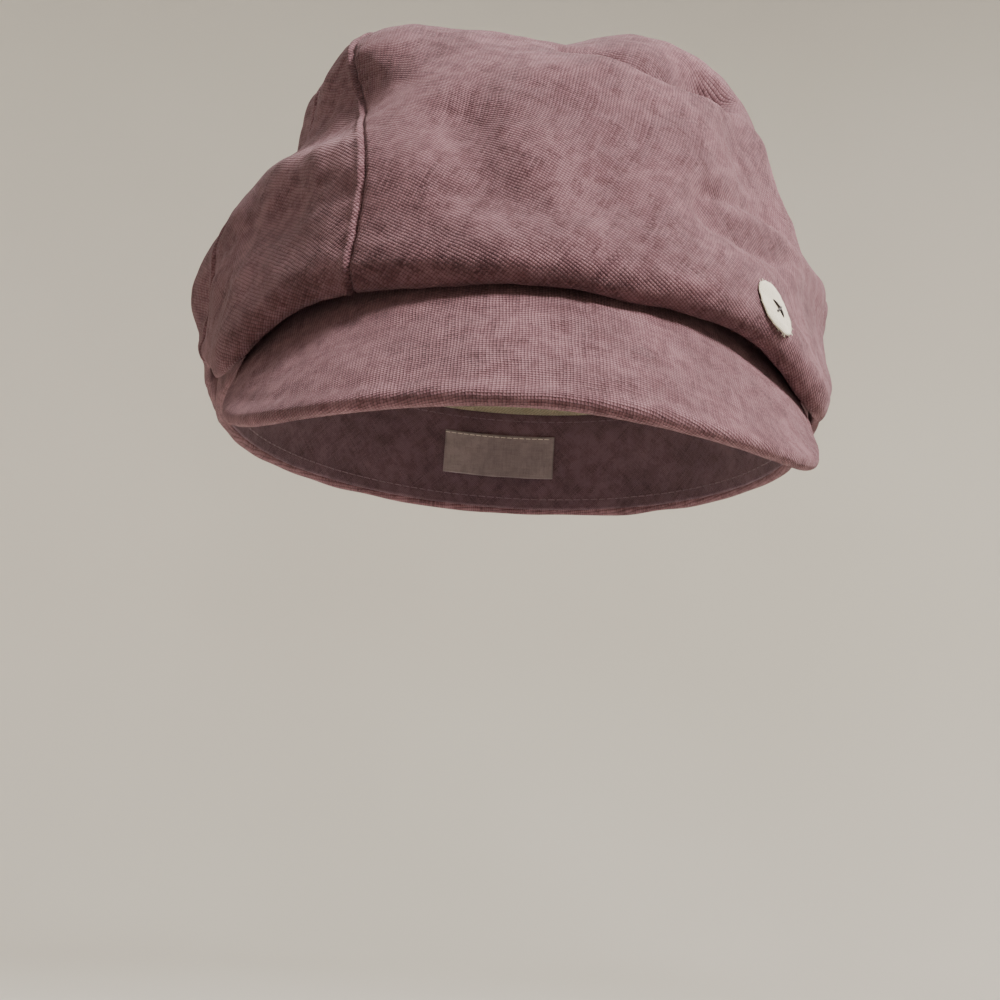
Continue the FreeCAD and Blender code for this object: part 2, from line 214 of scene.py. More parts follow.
def crown_base(theta):
    """Smooth crown: points (rows, n, 3) from the hidden inner seam, round the roll, up."""
    radius = plan_radius(theta)
    s, c = np.sin(np.radians(theta)), -np.cos(np.radians(theta))
    low = roll_bottom(theta)
    lip_reach = radius + side_change(theta, low + 5.0)
    out_x = CROWN_MIDDLE[0] + lip_reach * s
    out_y = CROWN_MIDDLE[1] + lip_reach * c
    azimuth = np.degrees(np.arctan2(out_x / BAND_HALF_WIDTH, -out_y / BAND_HALF_LENGTH))
    band_x, band_y = band_point(azimuth, 0)
    overhang = np.hypot(out_x - band_x, out_y - band_y)
    over_visor = 1 - smooth(np.abs(theta), 52, 72)
    tilt = np.tan(np.radians(visor_slope(azimuth)))
    root_out = visor_root_outset(azimuth)
    controls = []
    drawn_in = 1 - 0.42 * smooth(np.abs(theta), 42, 56)
    lip_out = np.maximum(overhang, ROLL_FORWARD) * drawn_in
    roll = ((0.12, 21.0, 1.8, 22.0), (0.16, 12.0, 6.0, 18.0), (0.34, 4.0, 8.8, 8.5),
            (0.52, 0.9, 11.0, 2.8), (0.70, 0.0, 13.0, 0.0), (0.88, 0.9, 15.2, 0.9),
            (0.98, 3.6, 16.8, 3.6), (1.0, 8.0, 17.2, 7.5))
    for share, rise, front_out, front_rise in roll:
        ahead = front_out * lip_out / ROLL_FORWARD
        outset = share * overhang + (ahead - share * overhang) * over_visor
        visor_top = rim_height(band_y) - (outset - root_out) * tilt + 1.7
        height = low + rise + (front_rise - rise) * over_visor
        under = np.where(over_visor > 0.02, np.maximum(height, visor_top), height)
        part = outset / overhang
        controls.append(np.stack([band_x + (out_x - band_x) * part,
                                  band_y + (out_y - band_y) * part, under], -1))
    lip = controls[4][:, 2]
    for share, level in CROWN_PROFILE:
        z = level + (lip - 8.0) * (1 - smooth(level, 22, 60)) * 0.8
        shift = smooth(level, 30, 100)
        middle = CROWN_MIDDLE + (CROWN_TOP_MIDDLE - CROWN_MIDDLE) * shift
        reach = radius * share + side_change(theta, z) * smooth(share, 0.0, 0.5)
        reach += (lip_out - overhang) * over_visor * np.exp(-((z - lip - 8) / 15.0) ** 2)
        x, y = middle[0] + reach * s, middle[1] + reach * c
        outset = 92.0 * (np.hypot(x / BAND_HALF_WIDTH, y / BAND_HALF_LENGTH) - 1)
        push = np.maximum(0.0, 5.0 - 16.0 * smooth(z, 42, 62) - outset) * (z < 62)
        controls.append(np.stack([x + push * s, y + push * c, z + 0 * s], -1))
    return spline(np.array(controls), CROWN_ROWS)


THETA_GRID = np.arange(-180.0, 181.0, 1.0)
BASE = crown_base(THETA_GRID)


def surface_normals(grid, wrap):
    if wrap:
        padded = np.concatenate([grid[:, -2:-1], grid, grid[:, 1:2]], axis=1)
        across = padded[:, 2:] - padded[:, :-2]
    else:
        across = np.gradient(grid, axis=1)
    down = np.gradient(grid, axis=0)
    normal = np.cross(across, down)
    return normal / np.maximum(np.linalg.norm(normal, axis=-1, keepdims=True), 1e-9)


def facing(normals, sample, way):
    """The same normals, turned round if the sample one points against the given way."""
    return -normals if (sample * way).sum() < 0 else normals


def ring_normals(points, row, way):
    """Normals of a closed ring of rows, facing the given way at one row."""
    closed = np.concatenate([points, points[:, :1]], axis=1)
    normals = surface_normals(closed, True)[:, :-1]
    return facing(normals, normals[row], way)


def crown_normals(grid):
    """Outward normals of a crown grid, told from its middle row."""
    normals = surface_normals(grid, True)
    row = CROWN_ROWS // 2
    return facing(normals, normals[row], grid[row] - CROWN_HEART)


BASE_NORMALS = crown_normals(BASE)
LOWEST = np.argmin(BASE[:, :, 2], axis=0)


def on_base(field, theta):
    """Samples a (rows, grid, ...) field at theta (rows, n), row by row."""
    place = (theta + 180.0) % 360.0
    i = np.minimum(place.astype(int), len(THETA_GRID) - 2)
    u = place - i
    rows = np.arange(field.shape[0])[:, None]
    low, high = field[rows, i], field[rows, i + 1]
    if field.ndim == 3:
        u = u[..., None]
    return low + (high - low) * u


def on_crown(angle, height):
    """The place on the smooth crown at an angle from the front and a height."""
    place = (angle + 180.0) % 360.0
    column = min(int(place), len(THETA_GRID) - 2)
    spots = []
    for k in (column, column + 1):
        side = BASE[LOWEST[k]:, k]
        spots.append([np.interp(height, side[:, 2], side[:, axis]) for axis in range(3)])
    share = place - column
    return np.array(spots[0]) * (1 - share) + np.array(spots[1]) * share


def trail(start, stop, sag=0.0, count=9):
    """A path over the crown between two (angle, height) places; sag lowers its middle."""
    path = []
    for share in np.linspace(0, 1, count):
        angle = start[0] + (stop[0] - start[0]) * share
        height = start[1] + (stop[1] - start[1]) * share - 4 * sag * share * (1 - share)
        path.append(on_crown(angle, height))
    return path


def waves(points, size, count, seed):
    """Smooth noise from -1 to 1 about: a sum of plane waves of roughly that size in mm."""
    rng = np.random.default_rng(seed)
    total = np.zeros(points.shape[:-1])
    for _ in range(count):
        direction = rng.normal(size=3)
        direction /= np.linalg.norm(direction)
        length = size * rng.uniform(0.75, 1.4)
        total += np.sin(points @ direction * (2 * math.pi / length) + rng.uniform(0, 6.28))
    return total / math.sqrt(count)


def near_path(points, path):
    """Distance to a path of 3-D points, share run along it, and the nearest point."""
    path = np.array(path, float)
    steps = np.linalg.norm(np.diff(path, axis=0), axis=1)
    starts = np.concatenate([[0], np.cumsum(steps)]) / steps.sum()
    best = np.full(points.shape[:-1], 1e9)
    share = np.zeros(points.shape[:-1])
    nearest = np.zeros(points.shape)
    for k, (a, b) in enumerate(zip(path[:-1], path[1:])):
        along = b - a
        t = np.clip(((points - a) @ along) / (along @ along), 0, 1)
        spot = a + t[..., None] * along
        gap = np.linalg.norm(points - spot, axis=-1)
        closer = gap < best
        best = np.where(closer, gap, best)
        share = np.where(closer, starts[k] + t * (starts[k + 1] - starts[k]), share)
        nearest = np.where(closer[..., None], spot, nearest)
    return best, share, nearest


def fold(points, path, depth, above, below, taper=0.25):
    """Height of a fold (+) or crease (-) along a path, wider above it or below it."""
    gap, share, nearest = near_path(points, path)
    higher = points[..., 2] > nearest[..., 2]
    width = np.where(higher, above, below)
    ends = smooth(share, 0, taper) * (1 - smooth(share, 1 - taper, 1))
    return depth * bell(gap, 0.0, width) * ends


def puff(points, middle, sizes, height):
    gap = (points - np.array(middle, float)) / np.array(sizes, float)
    return height * np.exp(-0.5 * (gap ** 2).sum(-1))


def sculpt(points, normals, theta):
    """The worn cap's folds: moves the smooth crown in and out along its normals."""
    x, y, z = points[..., 0], points[..., 1], points[..., 2]
    wall = smooth(z, 14, 34)
    move = np.zeros(points.shape[:-1])

    # the knob at the top of the front-left panel, and the smile-shaped crease under it
    knob = (LEFT_SEAM + FRONT_SEAM) / 2
    move += puff(points, on_crown(knob, 100), (17, 24, 22), 6.0)
    smile = trail((LEFT_SEAM + 12, 84), (FRONT_SEAM, 82), 14)
    move += fold(points, smile, -4.5, 12.0, 10.0, 0.35)
    move += fold(points, trail((LEFT_SEAM + 4, 60), (FRONT_SEAM, 48), 2), 1.6, 5.0, 7.0)
    move += fold(points, trail((LEFT_SEAM + 12, 32), (FRONT_SEAM - 8, 42)), -2.6, 9.0, 9.0)
    move += puff(points, on_crown(LEFT_SEAM, 78), (12, 24, 14), -2.5)

    # the top right: a sharp shelf, with a hump and a soft corner behind it
    shelf = trail((2, 95), (44, 95), 12)
    move += fold(points, shelf, -13.0, 8.0, 2.4, 0.15)
    move += fold(points, trail((2, 88), (38, 82), 8), 2.6, 3.5, 11.0)
    move += puff(points, on_crown(6, 104), (10, 20, 12), -4.0)
    move += puff(points, on_crown(32, 110), (20, 20, 14), 8.0)
    move += puff(points, on_crown(54, 98), (13, 18, 16), 4.0)
    move += fold(points, trail((45, 88), (54, 46)), 2.2, 6.0, 6.0)
    move += fold(points, trail((32, 82), (44, 30)), -2.6, 7.0, 7.0)

    # soft dents and slack across the front
    for angle in (27, 36):
        move += puff(points, on_crown(angle, 41), (7, 12, 5.5), -6.0)
    move += fold(points, trail((FRONT_SEAM + 8, 66), (0, 20)), -2.2, 6.0, 6.0)
    move += fold(points, trail((LEFT_SEAM - 4, 15), (LEFT_SEAM + 16, 40)), -2.2, 5.0, 4.0)

    # the roll over the visor stands forward, with slack cloth gathered above it
    ahead = angle_bump(theta, -2, 30)
    move -= 0.8 * ahead * bell(z, 32, 6.0)
    low_folds = bell(z, 20, 13.0) * smooth(z, 4, 12)
    for place, width, height in ((-66, 3.0, 1.6), (-54, 2.6, 1.2), (-43, 2.4, 0.8), (48, 3.4, 0.9),
                                 (62, 3.6, 1.0), (84, 4.0, 1.4)):
        move += height * angle_bump(theta, place, width) * low_folds
        move -= 0.8 * height * angle_bump(theta, place + 2.3 * width, width) * low_folds

    # the sides and back hang in long soft folds that run down from the top
    hang = smooth(z, 10, 30) * (1 - smooth(z, 80, 108))
    for place, width, height, lean in ((100, 6, 3.0, 0.20), (128, 8, -3.0, -0.15), (152, 6, 3.2, 0.1),
                                       (178, 8, -2.6, 0.2), (204, 7, 3.2, -0.2), (228, 7, -3.0, 0.1),
                                       (252, 6, 2.6, 0.25), (274, 6, -2.4, -0.1)):
        move += height * angle_bump(theta, place + lean * (z - 45), width) * hang
    backward = 0.5 - 0.5 * np.cos(np.radians(theta))
    move += fold(points, trail((142, 58), (216, 54), 9), -4.0, 11.0, 4.0) * backward
    move += fold(points, trail((145, 84), (214, 82), 7), -3.0, 10.0, 5.0) * backward

    # the flat top sags between the button and the outer edge
    move += puff(points, (30, 40, 116), (26, 22, 20), -4.0)
    move += puff(points, (-34, 34, 116), (24, 26, 20), -4.0)
    move += puff(points, (-14, -24, 118), (24, 20, 20), -2.5)
    move += fold(points, [(8, 16, 118), (34, 8, 116), (62, 14, 106)], 2.4, 6.0, 6.0)
    move += fold(points, [(-8, 20, 118), (-26, 50, 112), (-44, 70, 98)], 2.2, 6.0, 6.0)

    # slack and small wrinkles everywhere
    button_gap = np.hypot(x, y - 8)
    calm = smooth(button_gap, 8, 30)
    front_calm = 1 - 0.45 * angle_bump(theta, 10, 45)
    move += 1.2 * waves(points, 46, 22, 3) * wall * calm * front_calm
    move += 0.40 * waves(points, 19, 26, 4) * (0.35 + 0.65 * wall) * calm * front_calm
    move += 0.13 * waves(points, 7.5, 30, 5) * calm
    move *= smooth(button_gap, 5, 16)
    outset = 92.0 * (np.hypot(x / BAND_HALF_WIDTH, y / BAND_HALF_LENGTH) - 1)
    room = outset - 4.0 + 16.0 * smooth(z, 42, 62)
    outside = np.arange(len(points))[:, None] > np.argmin(points[..., 2], axis=0)[None, :]
    move = np.where(outside & (z < 62), np.maximum(move, -room), move)
    return points + normals * move[..., None]


SCULPTED = sculpt(BASE, BASE_NORMALS, np.broadcast_to(THETA_GRID, BASE.shape[:2]))
SCULPT_NORMALS = crown_normals(SCULPTED)

# ---- mesh making ----
def add_object(name, data):
    obj = bpy.data.objects.new(name, data)
    bpy.context.scene.collection.objects.link(obj)
    return obj


def add_piece(name, data, body):
    obj = add_object(name, data)
    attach(obj, body)
    return obj


def make_object(name, points_mm, faces, material, body, uvs=None):
    """One piece from points in mm; uvs has one (u, v) pair in metres for each point."""
    mesh = bpy.data.meshes.new(name)
    mesh.from_pydata((np.asarray(points_mm, float) * MM).tolist(), [], faces)
    if uvs is not None:
        layer = mesh.uv_layers.new(name="cloth")
        corners = np.empty(len(mesh.loops), dtype=np.int32)
        mesh.loops.foreach_get("vertex_index", corners)
        layer.data.foreach_set("uv", np.asarray(uvs, np.float32)[corners].ravel())
    mesh.materials.append(material)
    mesh.shade_smooth()
    mesh.update()
    return add_piece(name, mesh, body)


def grid_faces(rows, columns, start=0, flip=False, wrap=False):
    faces = []
    span = columns if wrap else columns - 1
    for r in range(rows - 1):
        for c in range(span):
            a = start + r * columns + c
            b = start + r * columns + (c + 1) % columns
            quad = (a, b, b + columns, a + columns)
            faces.append(quad[::-1] if flip else quad)
    return faces


def cloth_shell(name, outer, thickness, material, body, uvs, wrap=False, normals=None):
    """A closed piece of cloth: the outer grid (rows, columns, 3) and a copy inside it."""
    rows, columns = outer.shape[:2]
    if normals is None:
        normals = surface_normals(outer, False)
    inner = outer - normals * thickness
    count = rows * columns
    faces = grid_faces(rows, columns, 0, False, wrap) + grid_faces(rows, columns, count, True, wrap)
    loop = [(0, c) for c in range(columns)]
    if wrap:
        loop.append((0, 0))
        far = [(rows - 1, c) for c in range(columns)] + [(rows - 1, 0)]
        edges = [loop, far[::-1]]
    else:
        loop += [(r, columns - 1) for r in range(1, rows)]
        loop += [(rows - 1, c) for c in range(columns - 2, -1, -1)]
        loop += [(r, 0) for r in range(rows - 2, -1, -1)]
        edges = [loop]
    for line in edges:
        for (r0, c0), (r1, c1) in zip(line[:-1], line[1:]):
            a = r0 * columns + c0
            b = r1 * columns + c1
            faces.append((b, a, a + count, b + count))
    points = np.concatenate([outer.reshape(-1, 3), inner.reshape(-1, 3)])
    flat_uv = np.asarray(uvs).reshape(-1, 2)
    return make_object(name, points, faces, material, body, np.concatenate([flat_uv, flat_uv]))


def cloth_uv(points, turn=0.0):
    """Lengths along and across a grid, in metres, so that a weave keeps its scale."""
    middle = points.shape[1] // 2
    across = run_along(points, 1)
    across -= across[:, middle][:, None]
    up = run_along(points)
    up = np.broadcast_to(up[:, middle][:, None], up.shape)
    s, c = math.sin(math.radians(turn)), math.cos(math.radians(turn))
    return np.stack([across * c - up * s, across * s + up * c], -1) * MM


def thread_run(name, lines, radius, material, body):
    """Sewn or loose threads: thin round curves through lists of points in mm."""
    curve = bpy.data.curves.new(name, "CURVE")
    curve.dimensions = "3D"
    curve.bevel_depth = radius * MM
    curve.bevel_resolution = 2
    curve.use_fill_caps = True
    for line in lines:
        spline_part = curve.splines.new("NURBS")
        spline_part.points.add(len(line) - 1)
        for spot, place in zip(spline_part.points, line):
            spot.co = (place[0] * MM, place[1] * MM, place[2] * MM, 1.0)
        spline_part.order_u = 3
        spline_part.use_endpoint_u = True
    curve.materials.append(material)
    return add_piece(name, curve, body)


def stitches(path, normals, length, gap, lift):
    """Short raised stitches along a path (n, 3), as lists of points for thread_run."""
    run = run_along(path)
    lines = []
    place = 0.0
    while place + length < run[-1]:
        line = []
        for share, height in ((0.0, -0.25), (0.12, 0.6), (0.5, 1.0), (0.88, 0.6), (1.0, -0.25)):
            want = place + share * length
            spot = [np.interp(want, run, path[:, axis]) for axis in range(3)]
            out = [np.interp(want, run, normals[:, axis]) for axis in range(3)]
            line.append(np.array(spot) + np.array(out) * height * lift)
        lines.append(line)
        place += length + gap
    return lines


# ---- materials ----
def new_material(name):
    material = bpy.data.materials.new(name)
    material.use_nodes = True
    tree = material.node_tree
    tree.nodes.clear()
    output = tree.nodes.new("ShaderNodeOutputMaterial")
    shader = tree.nodes.new("ShaderNodeBsdfPrincipled")
    tree.links.new(shader.outputs["BSDF"], output.inputs["Surface"])
    return material, tree, shader


def feed(tree, sockets, values):
    """Fills each socket from a number or a colour, or links it to another node's output."""
    for socket, value in zip(sockets, values):
        if isinstance(value, (int, float)):
            socket.default_value = value
        elif isinstance(value, tuple):
            socket.default_value = (*value, 1.0)
        else:
            tree.links.new(value, socket)


def math_node(tree, operation, *values):
    node = tree.nodes.new("ShaderNodeMath")
    node.operation = operation
    feed(tree, node.inputs, values)
    return node.outputs[0]


def mix_colors(tree, factor, first, second):
    node = tree.nodes.new("ShaderNodeMix")
    node.data_type = "RGBA"
    feed(tree, [node.inputs[place] for place in (0, 6, 7)], (factor, first, second))
    return node.outputs[2]


def noise(tree, vector, scale, detail=2.0, roughness=0.5):
    node = tree.nodes.new("ShaderNodeTexNoise")
    node.inputs["Scale"].default_value = scale
    node.inputs["Detail"].default_value = detail
    node.inputs["Roughness"].default_value = roughness
    tree.links.new(vector, node.inputs["Vector"])
    return node.outputs["Fac"]


def stretch(tree, value, low, high, to_low=0.0, to_high=1.0):
    node = tree.nodes.new("ShaderNodeMapRange")
    node.interpolation_type = "SMOOTHSTEP"
    for index, number in enumerate((low, high, to_low, to_high)):
        node.inputs[index + 1].default_value = number
    tree.links.new(value, node.inputs[0])
    return node.outputs[0]


def pair(tree, x, y):
    node = tree.nodes.new("ShaderNodeCombineXYZ")
    feed(tree, node.inputs, (x, y))
    return node.outputs[0]


def add_bump(tree, shader, height, strength, depth_mm):
    node = tree.nodes.new("ShaderNodeBump")
    node.inputs["Strength"].default_value = strength
    node.inputs["Distance"].default_value = depth_mm * MM
    tree.links.new(height, node.inputs["Height"])
    tree.links.new(node.outputs[0], shader.inputs["Normal"])


def woven(tree, pitch_mm, unevenness):
    """A plain weave from the cloth UVs: its height, and one number per thread for colour."""
    uv = tree.nodes.new("ShaderNodeUVMap")
    uv.uv_map = "cloth"
    split = tree.nodes.new("ShaderNodeSeparateXYZ")
    tree.links.new(uv.outputs[0], split.inputs[0])
    wander = noise(tree, uv.outputs[0], 90.0, 2.0)
    drift = math_node(tree, "MULTIPLY", math_node(tree, "SUBTRACT", wander, 0.5), unevenness)
    counts = []
    for axis in ("X", "Y"):
        count = math_node(tree, "MULTIPLY", split.outputs[axis], 1000.0 / pitch_mm)
        counts.append(math_node(tree, "ADD", count, drift))
    u, v = counts
    cell_u = math_node(tree, "FLOOR", u)
    cell_v = math_node(tree, "FLOOR", v)
    bend_u = math_node(tree, "SINE", math_node(tree, "MULTIPLY", math_node(tree, "FRACT", u), math.pi))
    bend_v = math_node(tree, "SINE", math_node(tree, "MULTIPLY", math_node(tree, "FRACT", v), math.pi))
    over = math_node(tree, "MODULO", math_node(tree, "ADD", cell_u, cell_v), 2.0)
    over = math_node(tree, "ABSOLUTE", over)
    warp_tone = noise(tree, pair(tree, math_node(tree, "MULTIPLY", cell_u, 5.37),
                                 math_node(tree, "MULTIPLY", v, 0.045)), 1.0, 1.0)
    weft_tone = noise(tree, pair(tree, math_node(tree, "MULTIPLY", u, 0.045),
                                 math_node(tree, "MULTIPLY_ADD", cell_v, 7.13, 311.0)), 1.0, 1.0)
    mixed = tree.nodes.new("ShaderNodeMix")
    tree.links.new(over, mixed.inputs[0])
    tree.links.new(weft_tone, mixed.inputs[2])
    tree.links.new(warp_tone, mixed.inputs[3])
    thread_tone = mixed.outputs[0]
    top = math_node(tree, "MULTIPLY", math_node(tree, "POWER", bend_u, 0.6),
                    math_node(tree, "POWER", bend_v, 0.6))
    slub = stretch(tree, thread_tone, 0.55, 0.8, 0.0, 0.5)
    height = math_node(tree, "ADD", top, slub)
    return height, thread_tone, top


def linen_material(name, pale, middle, dark, pitch=0.78, bump=0.28):
    """Slubby piece-dyed linen: heathered colour, thread streaks, painted shade in the gaps between
    threads, and soft fuzz.
    """
    material, tree, shader = new_material(name)
    height, thread, top = woven(tree, pitch, 1.6)
    place = tree.nodes.new("ShaderNodeTexCoord").outputs["Object"]
    broad = stretch(tree, noise(tree, place, 45.0, 4.0, 0.65), 0.36, 0.64)
    mottle = stretch(tree, noise(tree, place, 260.0, 5.0, 0.72), 0.38, 0.62)
    color = mix_colors(tree, mottle, middle, pale)
    color = mix_colors(tree, stretch(tree, broad, 0.0, 1.0, 0.42, 0.0), color, dark)
    streak = stretch(tree, thread, 0.32, 0.74, 0.0, 1.0)
    color = mix_colors(tree, math_node(tree, "MULTIPLY", streak, 0.60), color, pale)
    fleck = stretch(tree, thread, 0.42, 0.22, 0.0, 0.45)
    color = mix_colors(tree, fleck, color, dark)
    # painted shade: the colour is darkened where the thread crowns dip, in the gaps between threads
    # where shade falls in the weave
    gap = stretch(tree, top, 0.62, 0.15, 0.0, 0.55)
    color = mix_colors(tree, gap, color, tuple(0.45 * part for part in dark))
    tree.links.new(color, shader.inputs["Base Color"])
    tree.links.new(stretch(tree, mottle, 0.0, 1.0, 0.95, 0.82), shader.inputs["Roughness"])
    shader.inputs["Specular IOR Level"].default_value = 0.22
    shader.inputs["Sheen Weight"].default_value = 0.22
    shader.inputs["Sheen Roughness"].default_value = 0.45
    shader.inputs["Sheen Tint"].default_value = (*[min(1.0, 1.4 * part + 0.25) for part in pale], 1.0)
    fuzz = noise(tree, place, 2600.0, 2.0, 0.7)
    total = math_node(tree, "ADD", height, math_node(tree, "MULTIPLY", fuzz, 0.5))
    add_bump(tree, shader, total, 0.85, bump)
    return material


def plain_material(name, light, dark, roughness, grain, bump=0.1, metal=0.0, sheen=0.0):
    """A surface with two mixed tones and fine grain, for the small and hidden parts."""
    material, tree, shader = new_material(name)
    place = tree.nodes.new("ShaderNodeTexCoord").outputs["Object"]
    wide = stretch(tree, noise(tree, place, grain * 0.12, 3.0, 0.6), 0.3, 0.7)
    fine = noise(tree, place, grain, 3.0, 0.6)
    color = mix_colors(tree, wide, dark, light)
    color = mix_colors(tree, stretch(tree, fine, 0.35, 0.65, 0.0, 0.35), color, dark)
    tree.links.new(color, shader.inputs["Base Color"])
    spread = stretch(tree, fine, 0.2, 0.8, max(0.05, roughness - 0.1), min(1.0, roughness + 0.1))
    tree.links.new(spread, shader.inputs["Roughness"])
    shader.inputs["Metallic"].default_value = metal
    shader.inputs["Sheen Weight"].default_value = sheen
    add_bump(tree, shader, fine, 0.6, bump)
    return material


MAUVE = linen_material("mauve_linen", (0.225, 0.112, 0.130), (0.128, 0.057, 0.068),
                       (0.042, 0.018, 0.022))
CREAM = linen_material("cream_cotton", (0.80, 0.76, 0.66), (0.70, 0.65, 0.54),
                       (0.50, 0.44, 0.34), 0.55, 0.15)
SWEATBAND = linen_material("sweatband_cotton", (0.170, 0.100, 0.125), (0.110, 0.062, 0.082),
                           (0.045, 0.026, 0.034), 0.5, 0.16)
TAG_CANVAS = linen_material("tag_canvas", (0.84, 0.79, 0.66), (0.74, 0.68, 0.54),
                            (0.52, 0.45, 0.33), 0.45, 0.12)
LABEL_SATIN = linen_material("label_satin", (0.30, 0.24, 0.25), (0.23, 0.18, 0.19),
                             (0.12, 0.09, 0.10), 0.3, 0.06)
BUCKRAM = plain_material("buckram", (0.72, 0.70, 0.62), (0.48, 0.45, 0.38), 0.85, 900.0, 0.2)
ELASTIC = plain_material("elastic", (0.80, 0.80, 0.78), (0.52, 0.52, 0.50), 0.8, 700.0, 0.25)
BOARD = plain_material("visor_board", (0.30, 0.28, 0.25), (0.16, 0.15, 0.14), 0.6, 600.0, 0.1)
STEEL = plain_material("button_steel", (0.62, 0.61, 0.58), (0.38, 0.36, 0.34), 0.35, 500.0, 0.03, 1.0)
THREAD = plain_material("dark_thread", (0.055, 0.038, 0.040), (0.020, 0.014, 0.016),
                        0.8, 4000.0, 0.05, 0.0, 0.2)
MAUVE_THREAD = plain_material("mauve_thread", (0.20, 0.11, 0.14), (0.10, 0.055, 0.07),
                              0.75, 4000.0, 0.05, 0.0, 0.2)
CREAM_THREAD = plain_material("cream_thread", (0.80, 0.75, 0.63), (0.55, 0.50, 0.40),
                              0.75, 4000.0, 0.05, 0.0, 0.2)

# ---- crown panels ----
SEAM_PLACES = (LEFT_SEAM, FRONT_SEAM, 74.0, 130.0, 186.0, 242.0, LEFT_SEAM + 360.0)
PANEL_NAMES = ("front_left", "front", "right", "back_right", "back_left", "left")


def seam_line(index, rows):
    """The angle of each seam, row by row up the crown: sewn seams are never quite straight."""
    level = np.interp(np.arange(rows), np.arange(CROWN_ROWS), BASE[:, 180, 2])
    place = SEAM_PLACES[index]
    if place == FRONT_SEAM:
        return place - 18.0 * smooth(level, 35, 115)
    if place in (LEFT_SEAM, LEFT_SEAM + 360.0):
        return place + 6.0 * bell(level, 60, 28)
    return place + 1.6 * np.sin(level * 0.055 + 2.1 * index) + 0.5 * np.sin(level * 0.21 + index)


def panel_angles(index, rows, shares):
    start = seam_line(index, rows)[:, None]
    end = seam_line(index + 1, rows)[:, None]
    return start + (end - start) * shares[None, :]


def sewn_edges(points, normals, depth, pressed):
    """Draws both side edges into the seam; the seam allowance is pressed to one side."""
    from_start = run_along(points, 1)
    from_end = from_start[:, -1:] - from_start
    gap = np.minimum(from_start, from_end)
    run = run_along(points[:, 0])
    pucker = np.sin(run * 0.83 + 1.2 * np.sin(run * 0.17)) * np.exp(-((gap.T / 5.0) ** 2))
    move = -depth * np.exp(-((gap / 0.55) ** 2))
    move += pressed * np.exp(-(((from_end - 1.5) / 0.9) ** 2))
    move += 0.35 * pressed * smooth(from_end, 0.5, 1.5) * (1 - smooth(from_end, 5.0, 6.5))
    move += 0.16 * depth * pucker.T
    return points + normals * move[..., None]


def seam_shares(count, width):
    """Shares across a panel, closer together beside its two seams."""
    near = np.array([0.0, 0.3, 0.6, 0.9, 1.2, 1.6, 2.1, 2.8, 3.7]) / width
    middle = np.linspace(4.8 / width, 1 - 4.8 / width, count)
    return np.concatenate([near, middle, 1 - near[::-1]])


def build_crown():
    for index, name in enumerate(PANEL_NAMES):
        span = SEAM_PLACES[index + 1] - SEAM_PLACES[index]
        shares = seam_shares(int(span * 1.55), span * 1.75)
        angles = panel_angles(index, CROWN_ROWS, shares)
        points = on_base(SCULPTED, angles)
        normals = on_base(SCULPT_NORMALS, angles)
        points = sewn_edges(points, normals, 0.65, 0.42)
        turn = (38.0, 30.0, -34.0, 24.0, -18.0, 12.0)[index]
        flat = cloth_uv(on_base(BASE, angles), turn)
        panel = cloth_shell("panel_" + name, points, 1.1, MAUVE, "cap", flat,
                            normals=normals)
        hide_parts("crown_panel_" + name)


def build_lining():
    """Slack cream lining: from the top of the sweatband out to the crown, then up inside it."""
    rows_used = np.arange(30, CROWN_ROWS, 2)
    for index, name in enumerate(PANEL_NAMES):
        span = SEAM_PLACES[index + 1] - SEAM_PLACES[index]
        angles = panel_angles(index, CROWN_ROWS, seam_shares(int(span), span * 1.7))
        outer = on_base(SCULPTED, angles)[rows_used]
        normals = on_base(SCULPT_NORMALS, angles)[rows_used]
        slack = LINING_SLACK + 0.5 * waves(outer, 17, 20, 21) + 0.7 * waves(outer, 38, 16, 22)
        inside = outer - normals * np.clip(slack, LINING_LEAST, LINING_MOST)[..., None]
        theta = np.radians(angles[rows_used])
        rim = np.stack([LINING_RIM_HALF[0] * np.sin(theta), -LINING_RIM_HALF[1] * np.cos(theta),
                        LINING_RIM_LEVEL + 0 * theta], -1)
        join = smooth(np.arange(len(rows_used)), 0, 24)[:, None, None]
        rising = np.linspace(0, 1, len(rows_used))[:, None] * 18.0
        rim[..., 2] += rising
        points = rim + (inside - rim) * join
        points[..., 2] = np.maximum(points[..., 2], rim[..., 2] - rising + 0.3)
        crown_in = np.hypot(outer[..., 0], outer[..., 1]) - 3.4
        reach = np.hypot(points[..., 0], points[..., 1])
        tight = np.minimum(1.0, crown_in / np.maximum(reach, 1.0))
        low_part = (points[..., 2] < 70)[..., None]
        points[..., :2] = np.where(low_part, points[..., :2] * tight[..., None], points[..., :2])
        shell_normals = surface_normals(points, False)
        points = sewn_edges(points, -shell_normals, 0.5, 0.3)
        piece = cloth_shell("lining_" + name, points, 0.5, CREAM, "cap",
                            cloth_uv(points, 8.0 * index))
        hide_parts("lining_panel_" + name)


# ---- band, sweatband and what hangs in it ----
def band_rows(azimuth, profile):
    """Rows round the band from (outset, height, share of the front arch followed)."""
    rows = []
    for outset, height, follow in profile:
        x, y = band_point(azimuth, float(outset))
        rows.append(np.stack([x, y, height + follow * rim_height(y)], -1))
    return np.array(rows)


def band_strip(name, start, end, profile, material, wobble, seed, nodes, thickness=0.5):
    """A strip of cloth round part of the band, with the given profile."""
    columns = int(abs(end - start) * 1.9)
    points = band_rows(np.linspace(start, end, columns), profile)
    normals = surface_normals(points, False)
    points = points + normals * (wobble * waves(points, 24, 18, seed))[..., None]
    piece = cloth_shell(name, points, thickness, material, "cap", cloth_uv(points, 4.0))
    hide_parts(*nodes)


